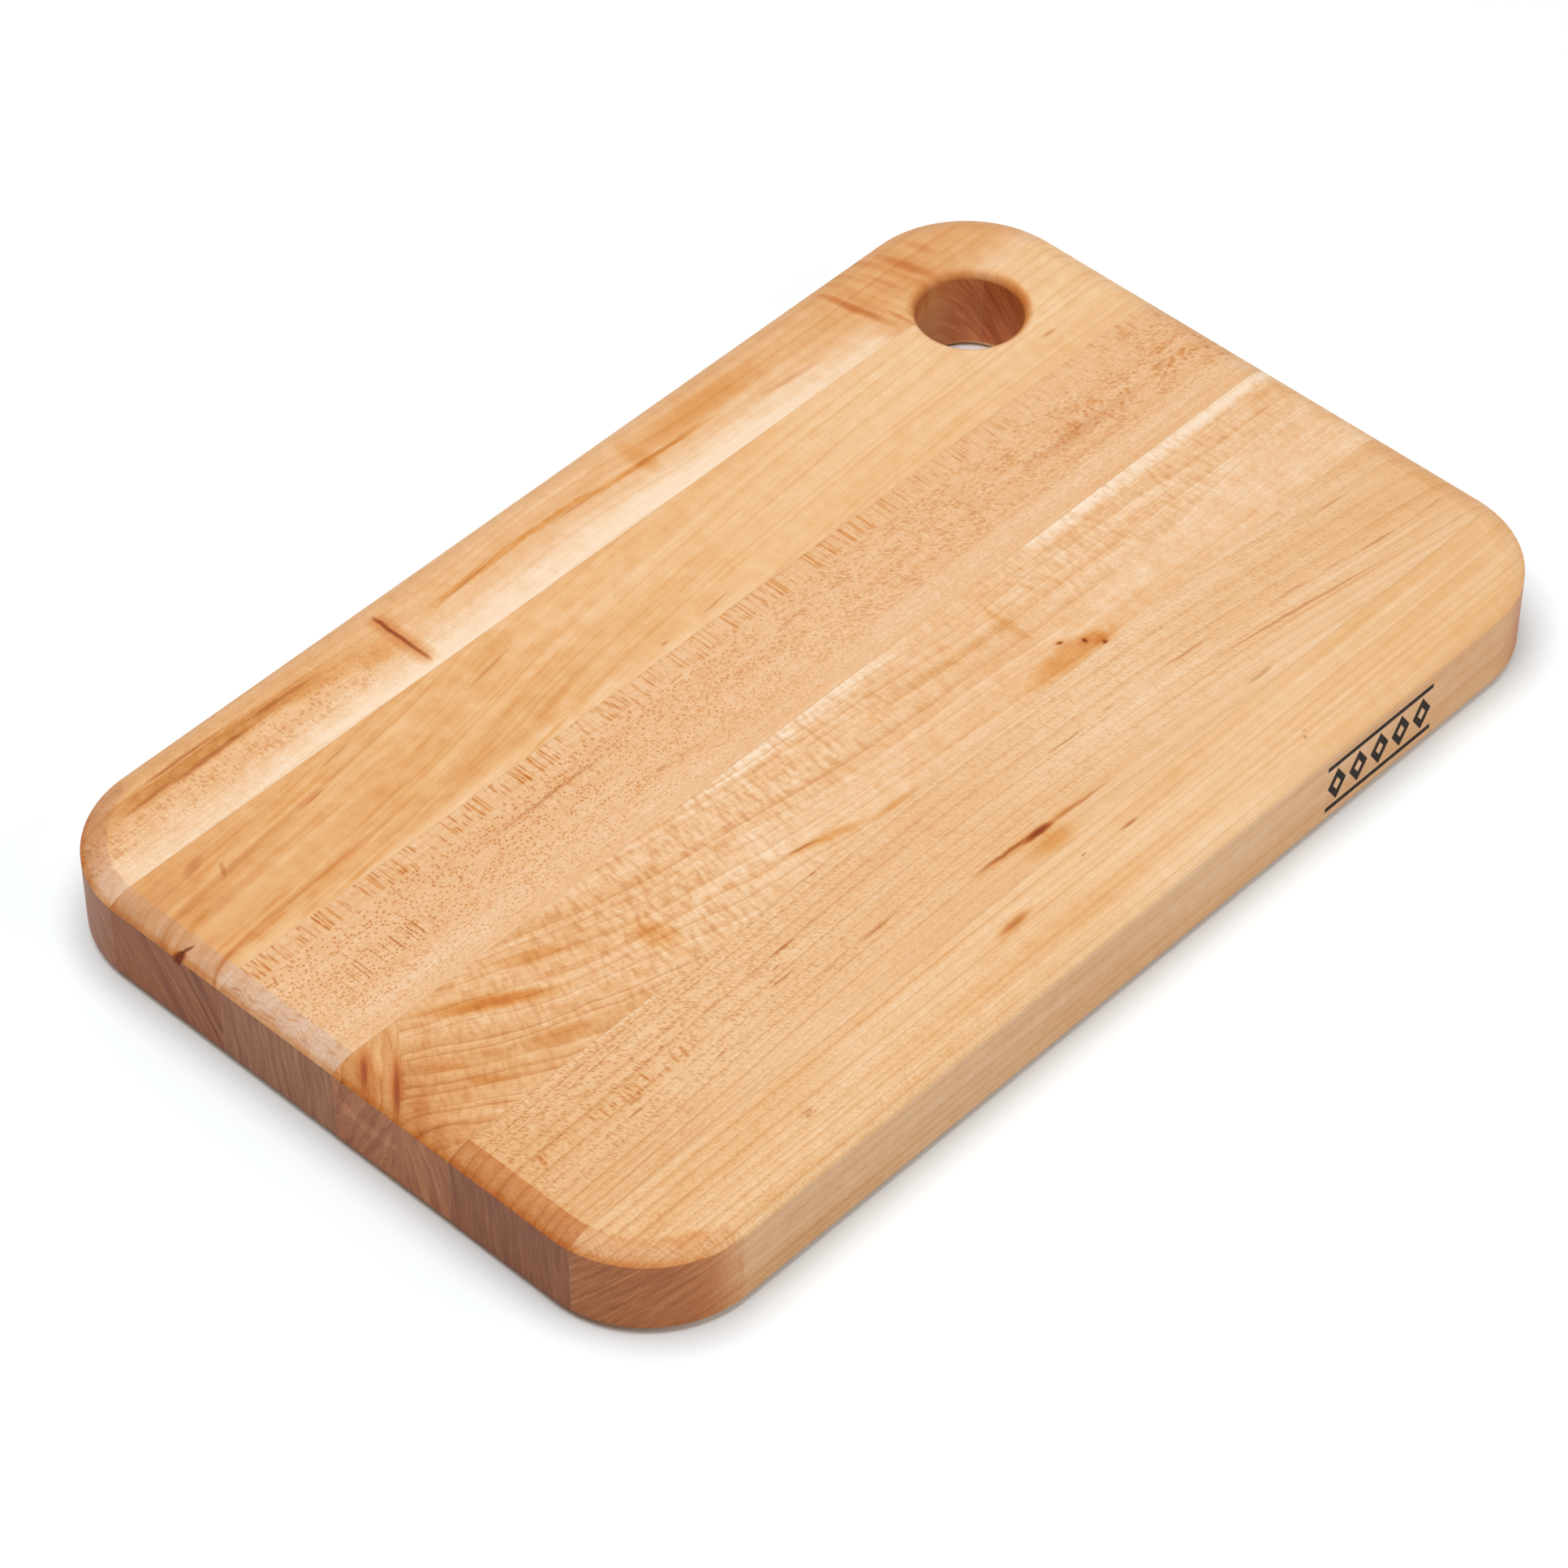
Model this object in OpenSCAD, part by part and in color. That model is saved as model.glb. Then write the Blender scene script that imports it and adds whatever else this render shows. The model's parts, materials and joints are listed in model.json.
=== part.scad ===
// Edge-grain cutting board: six hardwood staves glued edge to edge, the same on both faces,
// with a round hole near one corner to hang it by or to take a finger when it is lifted.
// Millimetres. X runs along the grain, Y across the staves and Z up. The origin is the middle
// of the underside, where the board rests. Stave 1 is at the +Y side and holds most of the hole.

/* [Board] */
// Length of the board, along the grain
board_length = 406.4; // [350:0.1:500]
// Width of the board, across the staves
board_width = 254; // [245:0.5:265]
// Thickness of the board
board_thickness = 31.75; // [28:0.25:45]
// Plan radius of the four corners
corner_radius = 38.1; // [25:0.1:45]

/* [Rounded edge] */
// How far the edge curve runs in over each face
edge_run = 8.8; // [5:0.1:12]
// How far the edge curve drops from the face to the crisp line where the side begins
edge_drop = 2.9; // [1.5:0.1:4.5]

/* [Staves] */
// Width of a full stave
stave_pitch = 46.5; // [44:0.1:48]
// Y of the joint in the middle, between staves 3 and 4
middle_joint_y = -2.2; // [-4:0.1:4]
// Thickness of the glue left in each joint
glue_thickness = 0.15; // [0.1:0.01:0.3]

/* [Hole] */
// Diameter of the hole's straight wall
hole_diameter = 35; // [25:0.5:40]
// Distance of the hole's centre from the two edges beside it
hole_setback = 44; // [40:0.5:60]
// Radius that rounds the rim of the hole on each face
rim_radius = 3.2; // [1:0.1:5]

/* [Hidden] */
$fn = 96;

stave_count = 6;
half_length = board_length / 2;
half_width = board_width / 2;
hole_radius = hole_diameter / 2;
hole_x = half_length - hole_setback;
hole_y = half_width - hole_setback;

// Radius of the arc that leaves the face level and reaches edge_drop after edge_run
edge_radius = (edge_run * edge_run + edge_drop * edge_drop) / (2 * edge_drop);

// Cuts run this far past what they cut
overcut = 1;

stave_colours = ["peru", "burlywood", "wheat", "sandybrown", "burlywood", "navajowhite"];
glue_colour = "saddlebrown";

// Y of the middle of joint i, counted from the +Y side
function joint_y(i) = middle_joint_y + (stave_count / 2 - i) * stave_pitch;

// Y of the two sides of stave i: a glued joint, or past the board's own edge
function stave_low_y(i) = i == stave_count ? -half_width - overcut : joint_y(i) + glue_thickness / 2;
function stave_high_y(i) = i == 1 ? half_width + overcut : joint_y(i - 1) - glue_thickness / 2;

// A section of the given width, with only its two lower edges rounded
module rounded_below(span) {
    flat = span / 2 - edge_run;
    intersection() {
        translate([-span / 2, 0])
            square([span, board_thickness]);
        union() {
            translate([-flat, 0])
                square([2 * flat, board_thickness]);
            translate([-span / 2, edge_drop])
                square([span, board_thickness]);
            for (side = [-1, 1])
                translate([side * flat, edge_radius])
                    circle(r = edge_radius);
        }
    }
}

// The board's section: both faces have the same rounded edges
module board_section(span) {
    intersection() {
        rounded_below(span);
        translate([0, board_thickness])
            mirror([0, 1])
                rounded_below(span);
    }
}

// Stands a section on its edge and extends it along X, evenly about the origin
module extend_along_x(length) {
    translate([-length / 2, 0, 0])
        rotate([90, 0, 90])
            linear_extrude(height = length)
                children();
}

// A quarter of a turned disc: the solid at one corner
module corner_quarter() {
    rotate_extrude(angle = 90)
        intersection() {
            board_section(2 * corner_radius);
            square([corner_radius, board_thickness]);
        }
}

// The whole board before it is divided and drilled
module board_blank() {
    straight_x = board_length - 2 * corner_radius;
    straight_y = board_width - 2 * corner_radius;
    extend_along_x(straight_x)
        board_section(board_width);
    rotate([0, 0, 90])
        extend_along_x(straight_y)
            board_section(board_length);
    for (turn = [0 : 3])
        translate([
            (turn == 0 || turn == 3 ? 1 : -1) * straight_x / 2,
            (turn < 2 ? 1 : -1) * straight_y / 2,
            0
        ])
            rotate([0, 0, 90 * turn])
                corner_quarter();
}

// What the drill and the rounding bit take away
module hole_cut() {
    rim_edge = hole_radius + rim_radius;
    translate([hole_x, hole_y, 0])
        rotate_extrude()
            difference() {
                translate([0, -overcut])
                    square([rim_edge, board_thickness + 2 * overcut]);
                translate([hole_radius, rim_radius])
                    square([rim_radius + overcut, board_thickness - 2 * rim_radius]);
                for (z = [rim_radius, board_thickness - rim_radius])
                    translate([rim_edge, z])
                        circle(r = rim_radius);
            }
}

// The slice of the board between two planes of constant Y
module board_slice(low_y, high_y) {
    difference() {
        intersection() {
            board_blank();
            translate([-half_length - overcut, low_y, -overcut])
                cube([board_length + 2 * overcut, high_y - low_y, board_thickness + 2 * overcut]);
        }
        hole_cut();
    }
}

// One length of hardwood
module stave(i) {
    color(stave_colours[i - 1])
        board_slice(stave_low_y(i), stave_high_y(i));
}

// The cured glue between staves i and i + 1
module glue_line(i) {
    color(glue_colour)
        board_slice(joint_y(i) - glue_thickness / 2, joint_y(i) + glue_thickness / 2);
}

module stave_1() { stave(1); }
module stave_2() { stave(2); }
module stave_3() { stave(3); }
module stave_4() { stave(4); }
module stave_5() { stave(5); }
module stave_6() { stave(6); }

module glue_line_1() { glue_line(1); }
module glue_line_2() { glue_line(2); }
module glue_line_3() { glue_line(3); }
module glue_line_4() { glue_line(4); }
module glue_line_5() { glue_line(5); }

stave_1();
stave_2();
stave_3();
stave_4();
stave_5();
stave_6();
glue_line_1();
glue_line_2();
glue_line_3();
glue_line_4();
glue_line_5();
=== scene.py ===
"""An edge-grain cutting board: six maple staves, glued edge to edge, oiled and left on a pale floor.

Lengths in the wood code are in millimetres, and Blender's own are in metres. X runs along the grain,
Y across the staves and Z up, from the middle of the underside, as in the frame. The near end is the one at
-X and the near side the one at -Y, as the camera stands.
"""

import json
import math

import bmesh
import bpy
from mathutils import Matrix, Vector


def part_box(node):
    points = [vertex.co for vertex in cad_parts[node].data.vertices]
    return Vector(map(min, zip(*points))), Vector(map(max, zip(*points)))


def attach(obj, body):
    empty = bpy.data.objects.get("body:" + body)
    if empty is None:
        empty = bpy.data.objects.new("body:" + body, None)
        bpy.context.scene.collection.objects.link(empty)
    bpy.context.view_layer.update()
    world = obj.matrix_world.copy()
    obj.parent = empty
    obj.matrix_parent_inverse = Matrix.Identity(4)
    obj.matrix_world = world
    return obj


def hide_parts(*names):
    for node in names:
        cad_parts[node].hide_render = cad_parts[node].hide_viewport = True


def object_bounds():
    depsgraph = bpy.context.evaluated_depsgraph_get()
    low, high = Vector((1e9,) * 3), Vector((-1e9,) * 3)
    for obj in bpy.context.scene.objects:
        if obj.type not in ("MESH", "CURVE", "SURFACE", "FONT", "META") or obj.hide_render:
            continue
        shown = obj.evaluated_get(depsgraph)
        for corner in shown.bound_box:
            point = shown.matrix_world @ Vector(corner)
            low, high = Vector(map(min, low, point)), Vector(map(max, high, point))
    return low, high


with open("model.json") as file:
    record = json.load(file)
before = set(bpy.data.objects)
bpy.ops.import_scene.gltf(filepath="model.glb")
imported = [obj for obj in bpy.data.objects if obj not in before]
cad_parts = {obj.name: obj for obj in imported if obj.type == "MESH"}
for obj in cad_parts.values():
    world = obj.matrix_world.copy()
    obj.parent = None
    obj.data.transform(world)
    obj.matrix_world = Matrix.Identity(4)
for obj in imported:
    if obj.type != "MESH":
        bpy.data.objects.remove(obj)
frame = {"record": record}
cad_box = [list(corner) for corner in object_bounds()]

MM = 0.001
STAVES = [f"stave_{i}" for i in range(1, 7)]
GLUE_LINES = [f"glue_line_{i}" for i in range(1, 6)]

# ---------------------------------------------------------------- sizes, in metres
LOW, HIGH = (Vector(corner) for corner in cad_box)
HALF_LENGTH = HIGH.x
HALF_WIDTH = HIGH.y
THICKNESS = HIGH.z - LOW.z
CORNER_RADIUS = 38.1 * MM
EDGE_RUN = 8.8 * MM
EDGE_DROP = 2.9 * MM
EDGE_RADIUS = (EDGE_RUN**2 + EDGE_DROP**2) / (2 * EDGE_DROP)
ARRIS_RADIUS = 0.5 * MM
RIM_RADIUS = 3.2 * MM
HOLE = next(m for m in frame["record"]["mounts"] if m["name"] == "hanging_hole")
HOLE_CENTRE = Vector(HOLE["pos_m"][:2])
HOLE_RADIUS = HOLE["dims"]["r_mm"] * MM

# straight steps that stand for each curve
EDGE_STEPS = 14
ARRIS_STEPS = 5
SIDE_STEPS = 5
CORNER_STEPS = 32
HOLE_STEPS = 96
RIM_STEPS = 10

# a point this near a cut lies on it, and a cut this near the board's side isn't made
ON_PLANE = 1e-8
BESIDE_SIDE = 1e-6
# a face is level if its normal's Z, up or down, is above this, and an edge is sharp if its faces' normals
# differ by more than this
LEVEL = 0.99999
SHARP = math.radians(30)

# the chip that bark left in the upper arris of the near end
CHIP_Y = 61.8 * MM
CHIP_HALF_WIDTH = 2.2 * MM
CHIP_REACH = 2.8 * MM
CHIP_DEPTH = 0.9 * MM
CHIP_SURROUND = 16 * MM
CHIP_STEPS_ACROSS = 14
CHIP_STEPS_DOWN = 6
CHIP_INWARD = Vector((1, 0, -0.55)).normalized()
CHIP_SKEW = 0.3
CHIP_SQUASH_X = 0.8
CHIP_SQUASH_Z = 1.7
CHIP_BLUNTNESS = 0.8


# ---------------------------------------------------------------- the board's shape
def edge_profile():
    """(inset, height) from the underside's flat round the edge to the upper flat.

    The upper half is an arc that leaves the face level, a small round where it meets the side, and the
    upright side. The lower half is the same turned over.
    """
    meet = math.asin((EDGE_RUN - ARRIS_RADIUS) / (EDGE_RADIUS - ARRIS_RADIUS))
    upper = []
    for k in range(EDGE_STEPS + 1):
        angle = meet * k / EDGE_STEPS
        height = -EDGE_RADIUS + EDGE_RADIUS * math.cos(angle)
        upper.append((EDGE_RUN - EDGE_RADIUS * math.sin(angle), height))
    round_height = -EDGE_RADIUS + (EDGE_RADIUS - ARRIS_RADIUS) * math.cos(meet)
    for k in range(1, ARRIS_STEPS + 1):
        angle = meet + (math.pi / 2 - meet) * k / ARRIS_STEPS
        height = round_height + ARRIS_RADIUS * math.cos(angle)
        upper.append((ARRIS_RADIUS * (1 - math.sin(angle)), height))
    low, high = -round_height, THICKNESS + round_height
    side = [(0.0, high + (low - high) * k / SIDE_STEPS) for k in range(1, SIDE_STEPS)]
    top = [(inset, THICKNESS + height) for inset, height in upper]
    bottom = [(inset, -height) for inset, height in reversed(upper)]
    return list(reversed(top + side + bottom))


def outline(inset):
    """Points round the board's four corners in plan, a distance inside its widest line."""
    points = []
    for quarter in range(4):
        turn = Matrix.Rotation(quarter * math.pi / 2, 2)
        start_sign = Vector((1 if quarter in (0, 3) else -1, 1 if quarter < 2 else -1))
        centre = Vector((
            start_sign.x * (HALF_LENGTH - CORNER_RADIUS),
            start_sign.y * (HALF_WIDTH - CORNER_RADIUS),
        ))
        for k in range(CORNER_STEPS + 1):
            angle = math.pi / 2 * k / CORNER_STEPS
            arm = Vector((math.cos(angle), math.sin(angle))) * (CORNER_RADIUS - inset)
            points.append(centre + turn @ arm)
    return points


def add_loops(mesh, loops):
    """Joins closed loops of equal length with quads, and returns the first and last loop's edges."""
    rings = [[mesh.verts.new(point) for point in loop] for loop in loops]
    for lower, upper in zip(rings, rings[1:]):
        for k, here in enumerate(lower):
            following = (k + 1) % len(lower)
            mesh.faces.new((here, lower[following], upper[following], upper[k]))
    ends = []
    for ring in (rings[0], rings[-1]):
        ends.append([mesh.edges.get((ring[k - 1], ring[k])) for k in range(len(ring))])
    return ends


def hole_profile():
    """(radius, height) down the hole from the upper face, round both rims."""
    rim = []
    for k in range(RIM_STEPS + 1):
        angle = math.pi / 2 * k / RIM_STEPS
        rim.append((HOLE_RADIUS + RIM_RADIUS * (1 - math.sin(angle)), RIM_RADIUS * (1 - math.cos(angle))))
    upper = [(radius, THICKNESS - depth) for radius, depth in rim]
    lower = [(radius, depth) for radius, depth in reversed(rim)]
    return upper + lower


def board_shell():
    """The whole board's skin with its hole, before it is divided into staves."""
    mesh = bmesh.new()
    edge_loops = []
    for inset, height in edge_profile():
        edge_loops.append([(p.x, p.y, height) for p in outline(inset)])
    bottom_edge, top_edge = add_loops(mesh, edge_loops)
    hole_loops = []
    for radius, height in hole_profile():
        loop = []
        for k in range(HOLE_STEPS):
            angle = 2 * math.pi * (k + 0.5) / HOLE_STEPS
            x = HOLE_CENTRE.x + radius * math.cos(angle)
            y = HOLE_CENTRE.y + radius * math.sin(angle)
            loop.append((x, y, height))
        hole_loops.append(loop)
    hole_top, hole_bottom = add_loops(mesh, hole_loops)
    bmesh.ops.triangle_fill(mesh, edges=top_edge + hole_top, use_beauty=False, normal=(0, 0, 1))
    bmesh.ops.triangle_fill(mesh, edges=bottom_edge + hole_bottom, use_beauty=False, normal=(0, 0, -1))
    return mesh


def is_flat_face(face):
    """Whether a face is part of the level middle of the upper face or the underside."""
    return abs(face.normal.z) > LEVEL


def slice_of(shell, low_y, high_y):
    """The part of the shell between two planes of constant Y, closed at both."""
    mesh = shell.copy()
    for cut_y, side in ((low_y, -1), (high_y, 1)):
        if abs(cut_y) > HALF_WIDTH - BESIDE_SIDE:
            continue
        everything = mesh.verts[:] + mesh.edges[:] + mesh.faces[:]
        cut = bmesh.ops.bisect_plane(
            mesh,
            geom=everything,
            dist=ON_PLANE,
            plane_co=(0, cut_y, 0),
            plane_no=(0, side, 0),
            clear_outer=True,
        )
        cut_edges = [e for e in cut["geom_cut"] if isinstance(e, bmesh.types.BMEdge)]
        bmesh.ops.holes_fill(mesh, edges=cut_edges, sides=0)
    # each flat becomes one face, with no points left along its straight sides
    inner = [e for e in mesh.edges if e.link_faces and all(is_flat_face(f) for f in e.link_faces)]
    bmesh.ops.dissolve_edges(mesh, edges=inner, use_verts=False)
    bmesh.ops.dissolve_verts(mesh, verts=[v for v in mesh.verts if len(v.link_edges) == 2])
    bmesh.ops.recalc_face_normals(mesh, faces=mesh.faces[:])
    return mesh


def chip_arris(mesh):
    """Presses a small pocket into the upper arris of the near end, where bark once was."""
    arris = Vector((-HALF_LENGTH, CHIP_Y, THICKNESS - EDGE_DROP))
    planes = []
    for k in range(-CHIP_STEPS_ACROSS, CHIP_STEPS_ACROSS + 1):
        planes.append(((0, CHIP_Y + CHIP_HALF_WIDTH * k / CHIP_STEPS_ACROSS, 0), (0, 1, 0)))
    for k in range(1, CHIP_STEPS_DOWN + 1):
        planes.append(((0, 0, arris.z - CHIP_REACH * k / CHIP_STEPS_DOWN), (0, 0, 1)))
    for place, heading in planes:
        curved = [f for f in mesh.faces if not is_flat_face(f)]
        faces = [f for f in curved if (f.calc_center_median() - arris).length < CHIP_SURROUND]
        near = set(faces)
        edges = [e for e in mesh.edges if near.intersection(e.link_faces)]
        verts = [v for v in mesh.verts if near.intersection(v.link_faces)]
        near_parts = verts + edges + faces
        bmesh.ops.bisect_plane(mesh, geom=near_parts, dist=ON_PLANE, plane_co=place, plane_no=heading)
    for vert in mesh.verts:
        away = vert.co - arris
        skew = (away.y + away.x * CHIP_SKEW) / CHIP_HALF_WIDTH
        reach = math.hypot(away.x * CHIP_SQUASH_X, away.z * CHIP_SQUASH_Z) / CHIP_REACH
        inside = 1 - skew**2 - reach**2
        if inside > 0:
            vert.co += CHIP_INWARD * CHIP_DEPTH * inside**CHIP_BLUNTNESS


def make_piece(name, mesh, material):
    """Turns a mesh into an object in the scene, smooth but for its sharp edges."""
    for face in mesh.faces:
        face.smooth = True
    for edge in mesh.edges:
        if len(edge.link_faces) == 2 and edge.calc_face_angle() > SHARP:
            edge.smooth = False
    data = bpy.data.meshes.new(name)
    mesh.to_mesh(data)
    mesh.free()
    data.materials.append(material)
    piece = bpy.data.objects.new(name, data)
    bpy.context.scene.collection.objects.link(piece)
    shading = piece.modifiers.new("even_normals", "WEIGHTED_NORMAL")
    shading.keep_sharp = True
    return piece


# ---------------------------------------------------------------- building node trees
class Value:
    """A number in a node tree, on which arithmetic adds Math nodes."""

    def __init__(self, graph, socket):
        self.graph = graph
        self.socket = socket

    def __add__(self, other):
        return self.graph.math("ADD", self, other)

    def __sub__(self, other):
        return self.graph.math("SUBTRACT", self, other)

    def __rsub__(self, other):
        return self.graph.math("SUBTRACT", other, self)

    def __mul__(self, other):
        return self.graph.math("MULTIPLY", self, other)

    def __truediv__(self, other):
        return self.graph.math("DIVIDE", self, other)

    def __pow__(self, other):
        return self.graph.math("POWER", self, other)

    __radd__ = __add__
    __rmul__ = __mul__


# spreads Blender's noise, which keeps close to 0.5, over about -1 to 1
NOISE_GAIN = 4.0
# what only the near end has fades out between these distances from the middle, in millimetres
END_FADE = 190.0


class Graph:
    """The node tree of one material, with its coordinates in millimetres."""

    def __init__(self, name):
        self.material = bpy.data.materials.new(name)
        self.material.use_nodes = True
        self.tree = self.material.node_tree
        self.shader = self.tree.nodes["Principled BSDF"]
        metres = self.add("TexCoord").outputs["Object"]
        self.place = self.add("VectorMath", operation="SCALE", Vector=metres, Scale=1 / MM).outputs[0]
        self.x, self.y, self.z = self.split(self.place)
        self.normal = self.split(self.add("NewGeometry").outputs["Normal"])
        # how far a face turns towards an end of the board, and how near to the near end it is
        self.turned = self.math("ABSOLUTE", self.normal[0])
        self.near_end = self.fade(self.x, END_FADE, -END_FADE)

    def add(self, kind, feeds=(), **settings):
        """A new node. A setting is an attribute of it, or the name of one of its inputs."""
        node = self.tree.nodes.new("ShaderNode" + kind)
        for name in [n for n in settings if hasattr(node, n)]:
            setattr(node, name, settings.pop(name))
        for name, value in settings.items():
            self.feed(node.inputs[name.replace("_", " ")], value)
        for socket, value in zip(node.inputs, feeds):
            self.feed(socket, value)
        return node

    def feed(self, socket, value):
        if isinstance(value, Value):
            value = value.socket
        if isinstance(value, bpy.types.NodeSocket):
            self.tree.links.new(value, socket)
        else:
            socket.default_value = value

    def math(self, operation, *values):
        return Value(self, self.add("Math", values, operation=operation).outputs[0])

    def split(self, vector):
        return [Value(self, socket) for socket in self.add("SeparateXYZ", (vector,)).outputs]

    def join(self, x, y, z=0.0):
        return self.add("CombineXYZ", (x, y, z)).outputs[0]

    def fade(self, value, none, full):
        """Runs smoothly from 0, where the value is none, to 1, where it is full."""
        feeds = (value, none, full, 0.0, 1.0)
        return Value(self, self.add("MapRange", feeds, interpolation_type="SMOOTHSTEP").outputs[0])

    def curve(self, value, points, smooth=True):
        """A line or smooth curve through (value, result) points."""
        low, high = points[0][0], points[-1][0]
        bottom = min(result for _, result in points)
        top = max(result for _, result in points)
        where = self.add("MapRange", (value, low, high, 0.0, 1.0)).outputs[0]
        node = self.add("FloatCurve", (1.0, where))
        line = node.mapping.curves[0].points
        while len(line) < len(points):
            line.new(0.5, 0.5)
        for knot, (at, result) in zip(line, points):
            knot.location = ((at - low) / (high - low), (result - bottom) / (top - bottom))
            knot.handle_type = "AUTO" if smooth else "VECTOR"
        node.mapping.update()
        return Value(self, node.outputs[0]) * (top - bottom) + bottom

    def noise(self, vector, detail=2.0, roughness=0.5):
        """Cloudy noise about 0, mostly between -1 and 1, with features about one unit across."""
        node = self.add("TexNoise", Vector=vector, Scale=1.0, Detail=detail, Roughness=roughness)
        return (Value(self, node.outputs[0]) - 0.5) * NOISE_GAIN

    def cells(self, vector, randomness=1.0):
        """The distance to the nearest of points scattered about one unit apart."""
        node = self.add("TexVoronoi", Vector=vector, Scale=1.0, Randomness=randomness)
        return Value(self, node.outputs[0])

    def chance(self, value):
        """A random number from 0 to 1 for each whole number."""
        return Value(self, self.add("TexWhiteNoise", noise_dimensions="1D", W=value).outputs[0])

    def scaled(self, vector, size):
        return self.add("VectorMath", (vector, size), operation="DIVIDE").outputs[0]

    def shifted(self, vector, by):
        return self.add("VectorMath", (vector, by), operation="ADD").outputs[0]

    def ramp(self, value, stops):
        """A colour that runs through (value, colour) stops."""
        node = self.add("ValToRGB", (value,))
        elements = node.color_ramp.elements
        while len(elements) < len(stops):
            elements.new(0.5)
        for element, (position, colour) in zip(elements, stops):
            element.position = position
            element.color = (*colour, 1)
        return node.outputs[0]

    def mix(self, amount, one, other, blend="MIX"):
        node = self.add("Mix", data_type="RGBA", blend_type=blend)
        for socket, value in zip((node.inputs[0], node.inputs[6], node.inputs[7]), (amount, one, other)):
            self.feed(socket, value)
        return node.outputs[2]


# ---------------------------------------------------------------- maple
# colours that plain maple runs through, against a tone from dark streaks to pale sapwood
TONES = (
    (-0.3, (0.42, 0.150, 0.042)),
    (0.0, (0.55, 0.245, 0.082)),
    (0.33, (0.625, 0.312, 0.115)),
    (0.67, (0.68, 0.385, 0.175)),
    (1.0, (0.73, 0.472, 0.262)),
    (1.4, (0.79, 0.60, 0.41)),
)
# how much of each colour a full stain lets through
LINE_TINT = (0.80, 0.63, 0.45)
FLECK_TINT = (0.80, 0.62, 0.45)
BROWN_TINT = (0.44, 0.19, 0.09)
ORANGE_TINT = (0.88, 0.66, 0.38)
RED_TINT = (0.84, 0.60, 0.38)
PALE_TINT = (1.06, 1.14, 1.22)
# band tints of the sloped ends; the pink, dusky and grey ones are partly a painted sheen
PINK_BAND_AND_SHEEN_TINT = (0.88, 0.95, 1.38)
DUSKY_BAND_AND_SHEEN_TINT = (0.84, 0.76, 0.80)
GREY_BAND_AND_SHEEN_TINT = (0.86, 0.90, 1.14)
BROWN_BAND_TINT = (0.98, 0.93, 0.82)
ORANGE_BAND_TINT = (0.76, 0.49, 0.28)
AMBER_BAND_TINT = (0.93, 0.80, 0.70)
ARRIS_TINT = (0.90, 0.66, 0.42)
RIM_TINT = (0.85, 0.57, 0.33)
SIDE_TINT = (1.01, 1.02, 1.13)
AMBER_TINT = (0.90, 0.71, 0.42)
OLIVE_TINT = (0.80, 0.61, 0.34)
RUST_TINT = (0.80, 0.55, 0.34)
RAY_DOT_TINT = (0.80, 0.58, 0.36)
RAY_BAR_TINT = (0.84, 0.60, 0.34)
DARK_BAR_TINT = (0.74, 0.50, 0.28)
STRIPE_TINT = (0.78, 0.50, 0.30)
STREAK_TINT = (0.76, 0.66, 0.58)
BARK_TINT = (0.52, 0.34, 0.30)
FLAME_TINT = (1.16, 1.26, 1.30)
WALL_TINT = (1.46, 1.34, 1.02)
# end grain of each stave
END_PINK_BROWN = (0.45, 0.18, 0.085)
END_BROWN = (0.41, 0.138, 0.048)
END_GREY_BROWN = (0.43, 0.178, 0.082)
END_LIGHT_BROWN = (0.52, 0.19, 0.075)
END_DARK_BROWN = (0.36, 0.12, 0.045)
END_RED_BROWN = (0.54, 0.195, 0.065)
# glue, on the faces, on the sloped near edge and on the upright ends
GLUE_DARK = (0.50, 0.29, 0.13)
GLUE_LIGHT = (0.60, 0.38, 0.19)
GLUE_EDGE = (0.48, 0.24, 0.11)
GLUE_END = (0.33, 0.125, 0.05)
BURN_COLOUR = (0.022, 0.015, 0.012)
# the burned border: its middle and half its length, how far its lines lie from the middle, half their width
# outside and where the burn is full, and the soft edge of the rest
BORDER_X = 110.0
BORDER_Z = 15.2
BORDER_HALF = 25.0
BORDER_LINE = 8.6
LINE_OUTSIDE = 1.15
LINE_FULL = 0.8
BURN_EDGE = 0.4
# its lozenges: their spacing, the half width of each outside and inside, and its width against its height
LOZENGE_PITCH = 10.0
LOZENGE_OUTSIDE = 4.5
LOZENGE_INSIDE = 1.5
LOZENGE_SHAPE = 0.66
# the hole in millimetres: its axis, its radius, and how far past its wall the wall's look still reaches
HOLE_X, HOLE_Y = HOLE_CENTRE / MM
WALL = HOLE_RADIUS / MM
WALL_EDGE = 0.4
# how far apart the staves' noises are taken
SEED_STEP = 731.0


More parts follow.
